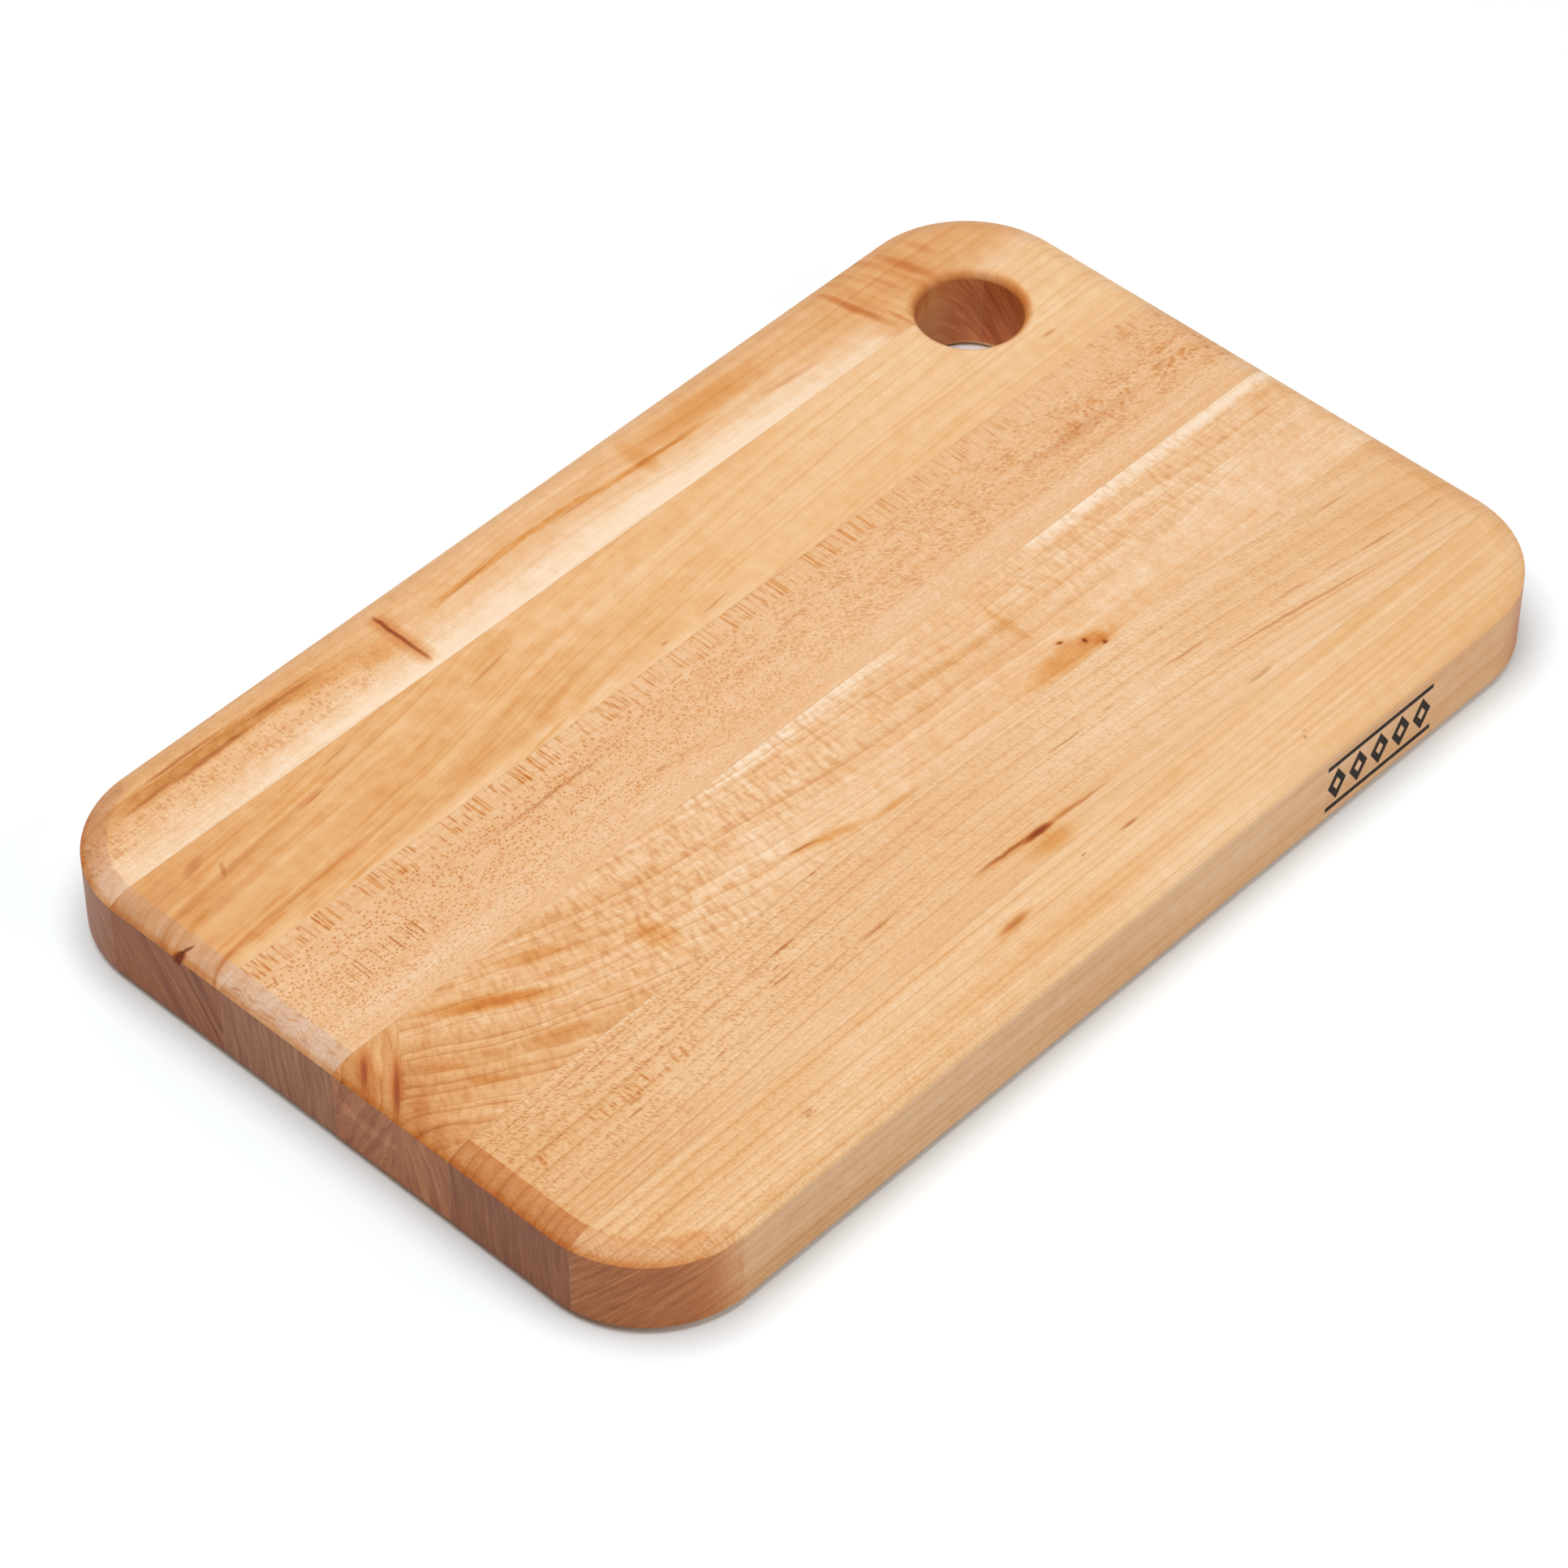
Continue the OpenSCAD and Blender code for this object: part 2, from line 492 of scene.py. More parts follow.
class Wood(Graph):
    """Maple for one stave.

    Its ring coordinate runs across the growth rings and its ray coordinate along them. lean is how far a
    ring moves in Y for each millimetre of depth, and drift is a list of (x, y) points on the path that a
    ring follows along the upper face. crotch is the (x, y, slope) of a slanted line, and the rings lie
    along that line in the wood before it.
    """

    def __init__(self, name, seed, lean, drift=(), wander=0.8, jitter=0.12, crotch=()):
        super().__init__(name)
        self.depth = THICKNESS / MM - self.z
        self.near_top = self.fade(self.depth, 14.0, 8.0)
        self.seeded = self.shifted(self.place, (seed * SEED_STEP, 0, 0))
        slow = self.noise(self.scaled(self.seeded, (70, 16, 16)), 1.0)
        quick = self.noise(self.scaled(self.seeded, (5, 6, 6)), 1.0)
        self.path = self.y + slow * wander + quick * jitter
        if drift:
            self.path = self.path - self.curve(self.x, drift)
        if crotch:
            at_x, at_y, slope = crotch
            beyond = self.x - at_x - (self.y - at_y) * slope + quick * 0.8
            inside = self.fade(beyond, 1.5, -1.5)
            self.path = self.path + (beyond * 0.72 - self.path) * inside
        self.ring = self.path + self.depth * lean
        self.ray = self.depth - self.path * lean
        self.run = self.x + seed * SEED_STEP
        self.grain = self.join(self.run, self.ring, self.ray)
        warp = self.noise(self.scaled(self.seeded, (7, 5, 9)), 2.0)
        self.flat_place = self.join(self.x + warp * 0.3, self.y + warp * 0.25)
        self.end_band = self.fade(self.turned, 0.01, 0.06) * self.near_end
        self.char = 0.0

    # -- the body of the wood
    def lay_tone(self, along, cloud=0.14, bands=0.14, lines=0.14, mottle=0.10, grit=0.14, fibre=0.12):
        """Sets the tone from its course along X and from noises of several sizes, each with its strength."""
        self.fibres = self.noise(self.scaled(self.grain, (16, 0.42, 0.42)), 3.0, 0.65)
        noises = (
            (cloud, (90, 14, 14), 2),
            (bands, (140, 3.6, 12), 2),
            (lines, (260, 0.9, 3), 2),
            (mottle, (5, 7, 8), 1),
        )
        tone = self.curve(self.x, along) + self.fibres * fibre
        for strength, size, detail in noises:
            tone = tone + self.noise(self.scaled(self.grain, size), detail) * strength
        skewed = self.join((self.run + self.y * 0.5) / 1.5, self.ring / 0.8, self.ray / 0.8)
        self.tone = tone + self.noise(skewed, 1.0) * grit

    def shift_tone(self, amount):
        self.tone = self.tone + amount

    def lay_colour(self, tint):
        """Turns the tone into a colour, with this stave's own tint."""
        low, high = TONES[0][0], TONES[-1][0]
        stops = [((tone - low) / (high - low), colour) for tone, colour in TONES]
        plain = self.ramp((self.tone - low) / (high - low), stops)
        self.colour = self.mix(1.0, plain, (*tint, 1), "MULTIPLY")
        self.height = self.fibres * 0.3

    def stain(self, mask, tint):
        """Lays a see-through stain, which deepens from its edge as a dye does."""
        through = self.add("Gamma", ((*tint, 1), mask)).outputs[0]
        self.colour = self.mix(1.0, self.colour, through, "MULTIPLY")

    # -- growth rings
    def number_rings(self, edges):
        """Counts the rings between their given edges, which repeat beyond the first and last."""
        span = edges[-1] - edges[0]
        turns = (self.ring - edges[0]) / span
        part = self.math("FRACT", turns)
        counted = self.curve(part, [((edge - edges[0]) / span, k) for k, edge in enumerate(edges)])
        self.turn = counted + (turns - part) * (len(edges) - 1)

    def space_rings(self, pitch, uneven=0.5):
        """Uneven rings about one pitch apart, dark towards +Y, or towards -Y if pitch is negative."""
        flow = self.noise(self.scaled(self.grain, (400, 2.4 * abs(pitch), 90)), 1.0)
        self.turn = self.ring / pitch + flow * uneven

    def ring_lines(self, strength, sharpness=6.0, pale=0.0, spread=0.7):
        """Darker late wood that builds up to the edge of each ring, and paler wood beyond it."""
        part = self.math("FRACT", self.turn)
        build = part ** sharpness
        stop = self.fade(part, 1.0, 0.92)
        each = self.chance(self.math("FLOOR", self.turn)) * spread + (1 - spread)
        broken = self.noise(self.scaled(self.grain, (14, 2, 3)), 2.0) * 0.3 + 0.9
        self.lines = build * stop * each * broken
        self.stain(self.lines * strength, LINE_TINT)
        self.height = self.height - self.lines * 0.2
        if pale != 0.0:
            self.stain(self.fade(part, 0.16, 0.03) * each * pale, PALE_TINT)

    # -- rays
    def flecks(self, place, strength, size=0.55, patch=0.1, tint=FLECK_TINT, core=0.4):
        """Dark ends of rays, one in most cells of a place whose unit is their spacing."""
        near = self.cells(place, 0.75)
        some = self.noise(self.scaled(self.grain, (9, 5, 9)), 2.0) * patch
        mask = self.fade(near - some, size, size * core) * strength
        self.stain(mask, tint)
        self.height = self.height - mask * 0.3

    def bars(self, width, length, window, tint, soft, rarity):
        """Rays that lie across the face as dark dashes, upright in Y."""
        row = self.math("FLOOR", self.y / length + 0.5)
        dashes = self.noise(self.join((self.run + self.fibres * 0.08) / width, row * 7.3, 0.0), 1.0, 0.7)
        mask = self.fade(dashes, rarity, rarity + soft) * window
        self.stain(mask, tint)
        self.height = self.height - mask * 0.3

    # -- marks that one stave has
    def mark(self, x, y, length, width, turn=0, soft=0.85):
        """A soft-edged ellipse on the upper face, long along X unless it is turned."""
        size = (length / 2, width / 2, 1)
        feeds = (self.flat_place, (x, y, 0), (0, 0, math.radians(turn)), size)
        local = self.add("Mapping", feeds, vector_type="TEXTURE").outputs[0]
        reach = self.add("VectorMath", (local,), operation="LENGTH").outputs["Value"]
        return self.fade(Value(self, reach), 1.0, 1.0 - soft)

    def marks(self, tint, spots):
        """Stains a list of (x, y, length, width, turn, strength) ellipses."""
        together = None
        for x, y, length, width, turn, strength in spots:
            one = self.mark(x, y, length, width, turn) * strength
            together = one if together is None else self.math("MAXIMUM", together, one)
        self.stain(together * self.near_top, tint)

    def band(self, path, half_width, start, end, feather=14, ragged=0.5):
        """A soft streak along a path of (x, y) points, from one X to another."""
        off = self.math("ABSOLUTE", self.y + self.fibres * ragged - self.curve(self.x, path))
        inside = self.fade(off, half_width, half_width * 0.2)
        reach = self.fade(self.x, start, start + feather) * self.fade(self.x, end, end - feather)
        return inside * reach * self.near_top

    def window(self, value, low, high, feather):
        """1 between low and high, and 0 outside them."""
        above = self.fade(value, low - feather, low + feather)
        below = self.fade(value, high + feather, high - feather)
        return above * below

    # -- cut ends, the hole, gloss and feel
    def cut_ends(self, band_and_sheen_tint, end_colour, stepped=0.6, far=0.15):
        """End grain shows as soon as a face turns away from the fibres: a band of another tint where the
        upper edge slopes, and a dark brown face where it is upright. The band's tint is the end grain's
        own, and for staves 1 to 3 partly a painted sheen. At the far end the band keeps only the share
        far of its strength, which paints the lighter look that the light and sheen give that end.
        """
        level = self.math("ABSOLUTE", self.normal[2])
        # the band and the arris tint weaken towards the far end: painted light, for the lighter look that end
        # has
        reach = self.near_end * (1 - far) + far
        rub = self.noise(self.scaled(self.seeded, (5, 3, 5)), 3.0) * 0.25 + 0.85
        # the band of the sloped end: the end grain's tint, for staves 1 to 3 partly a painted sheen
        self.stain(self.fade(self.turned, 0.01, 0.06) * reach * rub, band_and_sheen_tint)
        bend = self.noise(self.scaled(self.seeded, (30, 9, 30)), 1.0) * 2.0
        steps = self.noise(self.join((self.run + bend) / 0.9, self.y / 7, self.depth / 5), 3.0, 0.65)
        self.stain(self.end_band * self.fade(steps, 0.0, 1.0) * stepped, FLECK_TINT)
        self.stain(self.end_band * self.fade(steps, 0.0, -1.0) * stepped, PALE_TINT)
        self.end_grain = self.fade(self.turned, 0.04, 0.62) * self.fade(level, 0.34, 0.05)
        arris = self.fade(level, 0.90, 0.83) * self.fade(self.turned, 0.1, 0.4) * reach
        self.stain(arris * rub, ARRIS_TINT)
        self.colour = self.mix(self.end_grain, self.colour, (*end_colour, 1))
        streaks = self.noise(self.join(self.run / 14, self.ring / 1.5, self.ray / 16), 3.0, 0.6)
        pores = self.noise(self.scaled(self.place, (2.0, 0.35, 0.35)), 2.0)
        self.stain(self.end_grain * (streaks + pores * 0.5 + 0.6), STREAK_TINT)
        self.stain(self.end_grain * self.lines * 1.8, STREAK_TINT)

    def burn_border(self):
        """A plain ornament burned into the long side: a row of lozenges between two lines."""
        across = self.x - BORDER_X
        up = self.math("ABSOLUTE", self.z - BORDER_Z)
        within = self.fade(self.math("ABSOLUTE", across), BORDER_HALF, BORDER_HALF - BURN_EDGE)
        place = self.math("FRACT", across / LOZENGE_PITCH + 0.5) - 0.5
        side = self.math("ABSOLUTE", place) * LOZENGE_PITCH
        out = side + up * LOZENGE_SHAPE
        outer = self.fade(out, LOZENGE_OUTSIDE, LOZENGE_OUTSIDE - BURN_EDGE)
        lozenges = outer * self.fade(out, LOZENGE_INSIDE, LOZENGE_INSIDE + BURN_EDGE)
        lines = self.fade(self.math("ABSOLUTE", up - BORDER_LINE), LINE_OUTSIDE, LINE_FULL)
        drawn = self.math("MAXIMUM", lozenges, lines) * within
        patchy = self.noise(self.scaled(self.place, (0.8, 3, 0.8)), 2.0) * 0.06 + 1.0
        self.char = drawn * patchy * self.fade(self.normal[1], -0.8, -0.95)
        self.colour = self.mix(self.char, self.colour, (*BURN_COLOUR, 1))
        self.height = self.height - self.char * 2.0

    def from_hole(self):
        """The distance from the hole's axis."""
        feeds = (self.join(self.x, self.y), (HOLE_X, HOLE_Y, 0))
        return Value(self, self.add("VectorMath", feeds, operation="DISTANCE").outputs["Value"])

    def darken_hole_rim(self):
        """Darkens and reddens the rounded rim of the hole, on the side away from the camera and on its right.
        """
        near = self.fade(self.from_hole(), WALL + RIM_RADIUS / MM + WALL_EDGE, WALL + WALL_EDGE)
        along = self.x - HOLE_X
        across = self.y - HOLE_Y
        far = self.fade(along * 0.8 + across * 0.6, -12.0, 6.0) * 0.55
        right = self.fade(along * 0.68 - across * 0.73, 4.0, 17.0)
        self.stain(near * (far + right) * self.fade(self.depth, 12.0, 5.0), RIM_TINT)

    def warm_wall(self):
        """The hole's wall is end grain too, made redder and lighter here."""
        self.stain(self.fade(self.from_hole(), WALL + 3.0, WALL + WALL_EDGE) * self.end_grain, WALL_TINT)

    def finish(self):
        """Feeds the shader and returns the material."""
        self.feed(self.shader.inputs["Base Color"], self.colour)
        self.feed(self.shader.inputs["Roughness"], self.fibres * 0.04 + 0.48 + self.char * 0.4)
        self.shader.inputs["IOR"].default_value = 1.46
        self.shader.inputs["Specular IOR Level"].default_value = 0.25
        bump = self.add("Bump", Strength=0.35, Distance=0.00008, Height=self.height)
        self.feed(self.shader.inputs["Normal"], bump.outputs[0])
        return self.material


def stave_1_wood():
    """Pale beside the joint and darker outside, with a spike knot, long streaks and a reddish far end."""
    drift = ((-204, 0), (-110, 2), (-50, 0), (0, 2), (60, -1.5), (204, -2))
    wood = Wood("stave_1_maple", 1, 0.6, drift)
    along = (
        (-204, 0.64), (-150, 0.68), (-100, 0.74), (-30, 0.84),
        (90, 0.78), (125, 0.66), (150, 0.56), (204, 0.62),
    )
    grit = wood.curve(wood.x, ((-204, 0.18), (-70, 0.14), (20, 0.07), (204, 0.05)))
    wood.lay_tone(along, cloud=0.12, mottle=0.12, lines=0.08, grit=grit, fibre=0.08)
    before_red = wood.fade(wood.x, 137.0, 126.0)
    wood.shift_tone(wood.fade(wood.y, 107.0, 93.0) * before_red * 0.55)
    wood.shift_tone(wood.fade(wood.y, 105.0, 117.0) * before_red * -0.22)
    wood.shift_tone(wood.fade(wood.x, 166.0, 178.0) * wood.fade(wood.y, 101.0, 91.0) * 0.35)
    wood.lay_colour((1.0, 1.01, 1.06))
    wood.space_rings(4.5)
    wood.ring_lines(0.6)
    uneven = wood.noise(wood.join(wood.run / 4, wood.y / 3, wood.depth / 4), 3.0) * 0.4 + 0.85
    olive = wood.band(((-204, 113.5), (-150, 115), (-100, 114)), 4.6, -194, -90, 34, 2.2)
    amber_path = ((-60, 109), (-25, 111.5), (0, 111.7), (20, 109.5), (60, 107.5))
    amber = wood.band(amber_path, 1.8, -66, 74, 24, 0.9)
    wood.stain(olive * uneven * 1.3, OLIVE_TINT)
    wood.stain(amber * uneven * 1.5, AMBER_TINT)
    wood.marks(ORANGE_TINT, (
        (66, 114, 84, 15, 0, 0.9), (37, 112, 12, 24, 0, 0.8),
        (-95, 112, 60, 12, -4, 0.6), (-79, 108, 22, 13, 0, 0.8),
    ))
    wood.marks(BROWN_TINT, (
        (-150, 118.3, 40, 2.0, 0, 0.4), (-143, 112.6, 46, 3.0, 1, 0.42), (-112, 115, 40, 2.4, -2, 0.3),
        (-166, 113, 30, 2.6, 3, 0.3), (8, 109.7, 26, 1.8, -2, 0.2), (45, 108.3, 50, 2.6, -2, 0.18),
        (95, 102, 40, 3.4, -6, 0.16), (-40, 110.4, 30, 1.6, 5, 0.25),
    ))
    # a spike knot with its halo, narrow and upright
    wander = wood.noise(wood.join(wood.y / 5, 0.0), 2.0) * 0.35 + wood.fibres * 0.15
    off = wood.math("ABSOLUTE", wood.x + wander + 69.8 - (wood.y - 106) * 0.02)
    tall = wood.fade(wood.y, 92.5, 97.0) * wood.fade(wood.y, 121.5, 117.0) * wood.near_top
    wood.stain(wood.fade(off, 5.0, 0.6) * tall, RED_TINT)
    core = wood.fade(off, 1.1, 0.2) * (wood.fade(wood.y, 92.0, 108.0) * 0.4 + 0.5)
    wood.stain(core * tall, BROWN_TINT)
    # the reddish end with its cross stripes
    slant = wood.x - (124 - wood.y) * 0.22
    red = wood.fade(slant, 128.0, 134.0)
    stripes = wood.noise(wood.join(slant / 5.0, wood.y / 60, wood.depth / 30), 1.0)
    wood.stain(red * wood.fade(slant, 172.0, 150.0) * wood.fade(stripes, -0.4, 1.0) * 0.6, RED_TINT)
    wood.stain(red * wood.fade(wood.y, 96.0, 108.0) * 0.2, RED_TINT)
    wood.marks(STRIPE_TINT, (
        (133.8, 110, 5, 38, 12, 1.0), (160.5, 112, 7, 30, 16, 0.9), (141, 97, 2.6, 15, 5, 0.5),
        (149.5, 112, 3.4, 26, 14, 0.35), (170, 116, 6, 22, 16, 0.3),
    ))
    wood.marks(PALE_TINT, ((142.5, 106, 8, 32, 8, 1.3), (154, 108, 5, 28, 10, 1.1)))
    rays = wood.fade(wood.x, -60.0, -100.0) * wood.window(wood.y, 100.0, 113.0, 2.0)
    wood.flecks(wood.join(wood.x / 1.2, wood.y / 2.3, wood.depth / 9), rays * 0.7, 0.5, 0.25)
    wood.darken_hole_rim()
    wood.cut_ends(DUSKY_BAND_AND_SHEEN_TINT, END_PINK_BROWN, 0.25)
    wood.warm_wall()
    return wood.finish()


def stave_2_wood():
    """Amber at the near end and pale at the far end, its rings curving away, with a bark pocket."""
    drift = ((-204, 0), (-100, 12.5), (-20, 25), (20, 28.5), (100, 33.5), (204, 35.6))
    wood = Wood("stave_2_maple", 2, 0.66, drift)
    along = ((-204, 0.30), (-150, 0.46), (-70, 0.60), (10, 0.76), (90, 0.88), (204, 0.92))
    bands = wood.curve(wood.x, ((-204, 0.26), (-40, 0.2), (60, 0.12), (204, 0.09)))
    wood.lay_tone(along, cloud=0.14, bands=bands, lines=0.06, mottle=0.10, grit=0.06, fibre=0.06)
    wood.shift_tone(wood.fade(wood.y, 51.0, 45.0) * wood.fade(wood.x, 60.0, -60.0) * 0.4)
    blocks = wood.noise(wood.join(wood.run / 9 + wood.y / 30, wood.y / 5.5, wood.depth / 6), 1.0)
    wood.shift_tone(blocks * wood.curve(wood.x, ((-204, 0.15), (-40, 0.13), (40, 0.05), (204, 0.05))))
    wood.lay_colour((1.0, 0.99, 0.96))
    wood.space_rings(4.4, 0.9)
    wood.ring_lines(0.8, 7.0)
    edge_path = ((-204, 45), (-190, 51), (-150, 54), (-103, 57.5), (-60, 63))
    edge = wood.band(edge_path, 1.2, -218, -105, 34)
    wood.stain(edge * 0.45, RUST_TINT)
    wood.stain(edge * wood.fade(wood.x, -184.0, -204.0) * 0.9, RUST_TINT)
    blotch = wood.noise(wood.scaled(wood.grain, (30, 3.4, 9)), 2.0)
    left = wood.curve(wood.x, ((-204, 1.0), (-60, 0.7), (60, 0.25), (204, 0.2)))
    wood.stain(wood.fade(blotch, 0.1, 1.1) * left * 0.8, ORANGE_TINT)
    wood.marks(BROWN_TINT, (
        (-135, 78, 16, 1.4, 6, 0.25), (-118, 86, 22, 1.6, 8, 0.22), (-60, 79, 30, 1.6, 9, 0.2),
        (-17, 48, 4, 1.6, 0, 0.3), (168, 57, 9, 2.0, -4, 0.3), (-176, 84, 14, 5, 20, 0.2),
        (6, 49, 16, 1.2, 6, 0.3), (-172, 76, 2.4, 9, -30, 0.3),
    ))
    wood.darken_hole_rim()
    wood.cut_ends(PINK_BAND_AND_SHEEN_TINT, END_BROWN, 0.25, 0.0)
    # the bark pocket, and the dark rings that run down the near end
    pocket = wood.mark(-202.8, 62.1, 5.4, 4.0, -14, 0.6)
    tail = wood.mark(-200.4, 61.4, 7.5, 1.7, -19, 0.6)
    bark = wood.math("MAXIMUM", pocket, tail)
    wood.stain(bark * wood.fade(wood.depth, 5.6, 4.4) * 1.5, BARK_TINT)
    dark_rings = ((63.3, 0.8, 0.9), (58.6, 1.0, 0.6), (56.8, 2.2, 0.45), (80.0, 3.4, 0.4))
    for ring, half_width, strength in dark_rings:
        off = wood.math("ABSOLUTE", wood.ring - ring)
        wood.stain(wood.fade(off, half_width, 0.2) * wood.end_grain * wood.near_end * strength, BARK_TINT)
    wood.warm_wall()
    return wood.finish()


def stave_3_wood():
    """Quarter-sawn: the ends of its rays make dots all over, and bars along one joint."""
    wood = Wood("stave_3_maple", 3, 0.1)
    along = ((-204, 0.78), (-60, 0.8), (60, 0.8), (204, 0.72))
    wood.lay_tone(along, cloud=0.1, bands=0.12, lines=0.1, mottle=0.06, grit=0.17, fibre=0.06)
    wood.shift_tone(wood.window(wood.y, 2.0, 9.0, 3.0) * 0.12)
    wood.lay_colour((0.98, 0.985, 1.05))
    wood.space_rings(3.0)
    wood.ring_lines(0.2)
    # rays lie in the upper face near one joint and cross it further away
    lay = ((-4, -34), (8, -17), (14, -8), (22, 0), (30, 7), (35, 10.5), (37, 11.3), (44.5, 12.4))
    rows = wood.curve(wood.y + wood.depth * 0.1, lay, smooth=False)
    flat = 1 - wood.end_band
    course = ((-204, 1.15), (-110, 1.15), (-50, 0.95), (20, 0.65), (80, 0.45), (204, 0.5))
    fading = wood.curve(wood.x, course) * flat
    lower = wood.fade(wood.y, -4.0, 10.0) * 0.8 + 0.2
    dots = wood.join(wood.x / 1.25, rows, wood.depth / 9)
    wood.flecks(dots, fading * lower, 0.48, 0.07, RAY_DOT_TINT, 0.35)
    # further right the rays make a slanting lattice
    lattice = wood.join((wood.x + wood.y * 0.8) / 1.8, wood.y / 2.0 - wood.x / 14, wood.depth / 9)
    right = wood.fade(wood.x, -70.0, 30.0) * wood.window(wood.y, 9.0, 35.0, 3.0)
    wood.flecks(lattice, right * 0.5, 0.52, 0.2)
    red = wood.fade(wood.x, 80.0, 150.0) * wood.window(wood.y, 15.0, 27.0, 4.0)
    wood.flecks(wood.join(wood.x / 2.4, wood.y / 1.9, wood.depth / 9), red * 0.6, 0.5, 0.3, RED_TINT)
    edge = wood.window(wood.y, 36.5, 44.0, 0.8) * flat
    edge = edge * wood.curve(wood.x, ((-204, 1.0), (50, 0.9), (110, 0.45), (160, 0.1), (204, 0.0)))
    wood.bars(1.3, 60, edge * 0.9, RAY_BAR_TINT, 0.5, 0.25)
    cluster = wood.window(wood.y, 15.5, 22.5, 1.0) * wood.window(wood.x, -180.0, -145.0, 4.0)
    wood.bars(1.2, 60, cluster * 1.1, DARK_BAR_TINT, 0.4, 0.1)
    wood.marks(BROWN_TINT, (
        (-85, 28.5, 66, 2, 0, 0.3), (-55, 12, 7, 2.4, 0, 0.25), (15, 27, 12, 3, 0, 0.18),
        (180, 22, 12, 2.2, 0, 0.2), (140, 20, 70, 9, 0, 0.12),
    ))
    wood.cut_ends(GREY_BAND_AND_SHEEN_TINT, END_GREY_BROWN, 1.1)
    return wood.finish()


# the swirl of stave 4: where its rings start, how far they fall away in Y and over what length
SWIRL_X = -182
FALL = 49
FALL_LENGTH = 75


def swirl(x):
    """How far in Y a ring of stave 4 has moved at X: it falls away steeply at first, then levels out."""
    return FALL * (math.exp(-(x - SWIRL_X) / FALL_LENGTH) - 1)


def stave_4_wood():
    """Curly: its rings swirl away from a crotch at the near end, crossed by strokes, with three pin knots."""
    stations = [-204, -192] + list(range(-180, 205, 20))
    drift = [(x, swirl(x)) for x in stations]
    wood = Wood("stave_4_maple", 4, 0.3, drift, 1.2, 0.22, (-181.7, -6.7, 0.97))
    along = (
        (-204, 0.08), (-192, 0.2), (-176, 0.5), (-150, 0.66), (-110, 0.74),
        (-30, 0.9), (50, 0.76), (90, 0.95), (204, 0.88),
    )
    wood.lay_tone(along, cloud=0.2, bands=0.16, lines=0.08, mottle=0.16, grit=0.16, fibre=0.08)
    pale_runs = wood.window(wood.x, -60.0, 25.0, 12.0) + wood.window(wood.x, 90.0, 210.0, 12.0)
    wood.shift_tone(wood.fade(wood.y, -9.0, -4.0) * pale_runs * 0.35)
    wood.lay_colour((1.0, 1.02, 1.09))
    wood.space_rings(-5.2, 0.9)
    dark = wood.curve(wood.x, ((-204, 1.6), (-100, 1.1), (0, 0.8), (204, 0.5)))
    pale = wood.curve(wood.x, ((-204, 0.3), (-160, 0.6), (-100, 0.8), (-30, 0.7), (50, 0.4), (204, 0.3)))
    wood.ring_lines(dark, 3.5, pale, 0.6)
    # strokes at right angles to the rings
    steepness = [(x, FALL / FALL_LENGTH * math.exp(-(x - SWIRL_X) / FALL_LENGTH)) for x in stations]
    slope = wood.curve(wood.x, steepness)
    across = wood.x - slope * (wood.y + 24)
    strokes = wood.noise(wood.join(across / 1.8, wood.ring / 6, wood.depth / 12), 2.0)
    course = ((-204, 0.4), (-140, 0.6), (-60, 0.8), (0, 0.55), (50, 0.25), (90, 0.5), (204, 0.25))
    calm = wood.fade(wood.x, -90.0, -30.0) * wood.fade(wood.y, -20.0, -36.0)
    reach = wood.curve(wood.x, course) * (1 - calm * 0.85)
    wood.stain(wood.fade(strokes, -0.3, 1.1) * reach, FLECK_TINT)
    wood.stain(wood.fade(strokes, 0.1, -1.1) * reach * 0.9, PALE_TINT)
    wood.marks(ORANGE_TINT, (
        (-155, -17, 50, 8, -32, 1.7), (-134, -13, 34, 7, -28, 0.8), (-104, -33, 14, 20, 20, 1.0),
        (-181, -25, 5, 22, 46, 0.7), (-176, -37, 5, 20, 46, 0.8), (-150, -40, 30, 8, -20, 0.5),
        (-42, -42.5, 36, 5, -12, 1.0), (-18, -47.5, 24, 3, -3, 0.7), (62, -44.5, 50, 12, 0, 1.0),
        (60, -20, 5, 30, 0, 0.6), (74, -45, 12, 9, 0, 1.2), (80, -46, 10, 5, 60, 0.6),
    ))
    wood.marks(RED_TINT, (
        (64.5, -39.5, 11, 7, 0, 0.5), (71, -43.5, 9, 7, 0, 0.5), (74.5, -47, 11, 7, 0, 0.7),
        (-195, -20, 32, 6, 46, 1.3), (-197, -9, 24, 7, 46, 1.2), (-200, -15, 22, 9, 46, 0.8),
        (-198, -33, 30, 8, 46, 0.7), (-200, -42, 22, 8, 46, 0.5), (-178, -14, 20, 4, 44, 0.4),
    ))
    wood.marks(BROWN_TINT, (
        (-195.5, -20.5, 26, 2.6, 46, 0.5), (-198, -10, 16, 3.0, 46, 0.5), (-204, -6.5, 5, 3, 30, 0.6),
        (64.7, -38.4, 3.2, 1.9, -20, 1.1), (71, -43, 2.2, 3.2, 0, 1.1), (74.6, -47.9, 2.8, 3.0, 0, 0.9),
        (-50, -40, 18, 1.6, -14, 0.4),
    ))
    wood.cut_ends(BROWN_BAND_TINT, END_LIGHT_BROWN)
    # pale flames in the end grain, one lying across the stave and one upright
    curl = wood.noise(wood.join(wood.y / 6, wood.depth / 5), 2.0) * 1.6
    lying = wood.math("ABSOLUTE", wood.depth + curl - wood.curve(wood.y, ((-32, 10), (-20, 15), (-2, 12))))
    upright = wood.math("ABSOLUTE", wood.y + curl + 38)
    middle = wood.window(wood.y, -28.0, -4.0, 3.0)
    wood.stain(wood.fade(lying, 3.4, 0.4) * middle * wood.end_grain * 1.2, FLAME_TINT)
    wood.stain(wood.fade(upright, 3.2, 0.8) * wood.end_grain * 0.7, FLAME_TINT)
    return wood.finish()


